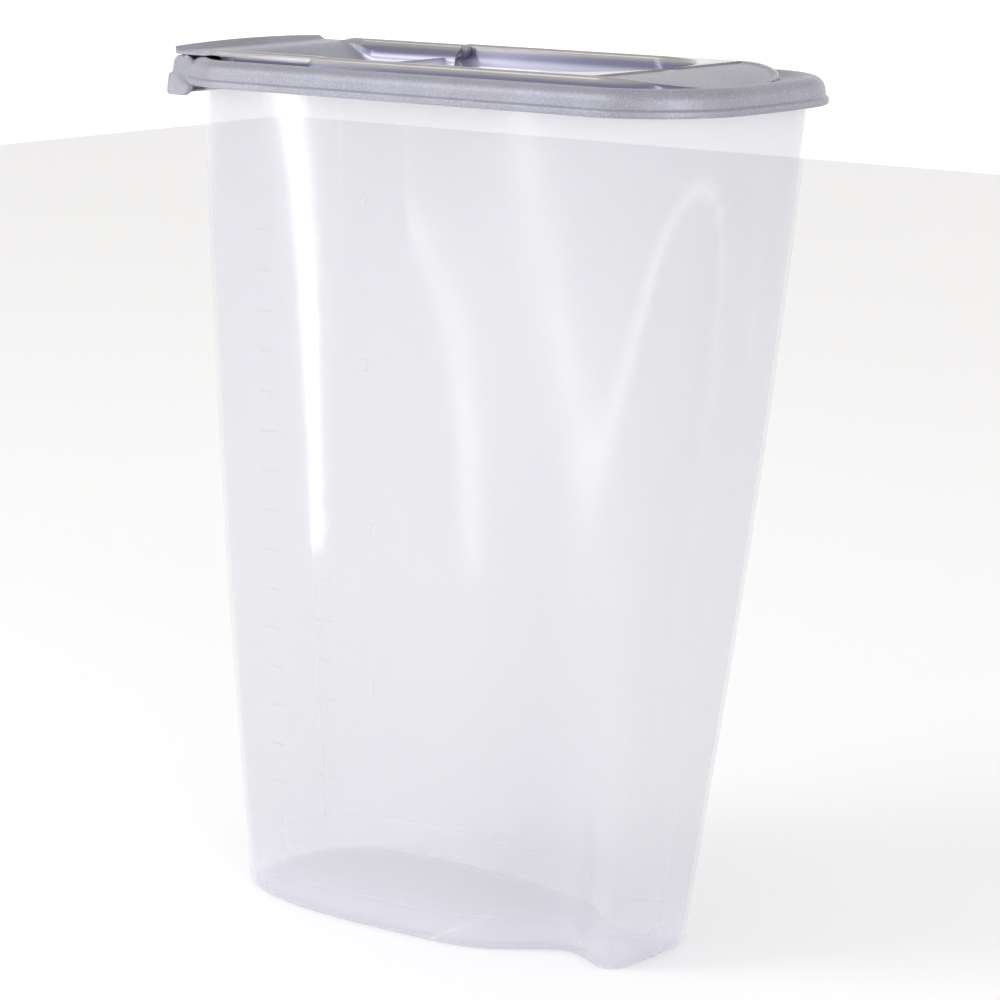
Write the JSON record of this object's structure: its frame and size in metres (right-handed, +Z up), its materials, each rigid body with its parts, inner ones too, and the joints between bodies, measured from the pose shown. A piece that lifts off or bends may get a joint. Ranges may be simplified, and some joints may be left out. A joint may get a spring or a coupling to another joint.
{
  "type": "cereal container with flip spout",
  "caption": "Tall translucent dry-food container with a fish-shaped base, a press-on lid with a recess and rails, and a hinged flip cap over the pour opening.",
  "frame": {"origin": "centre of the whole object's box in plan, on the table under the flat base", "axes": "+X from the pour end to the hand grip, +Y to the left seen from the pour end looking along +X, +Z up"},
  "size_m": [0.2424, 0.107, 0.308],
  "materials": {
    "tub_plastic": "translucent polypropylene",
    "lid_plastic": "fine spark-eroded texture with metallic flakes, polished rails",
    "cap_plastic": "fine spark-eroded texture with metallic flakes, polished rails"
  },
  "bodies": {
    "container": {"container": "tub_plastic"},
    "lid": {"lid": "lid_plastic"},
    "flip_cap": {"flip_cap": "cap_plastic"}
  },
  "joints": [
    {"name": "lid_lift", "type": "slide", "parent": "container", "child": "lid", "axis": [0, 0, 1], "range_m": [0, 0.03]},
    {"name": "cap_hinge", "type": "hinge", "parent": "lid", "child": "flip_cap", "pos_m": [-0.0451, 0, 0.3044], "axis": [0, 1, 0], "range_deg": [0, 170]}
  ]
}
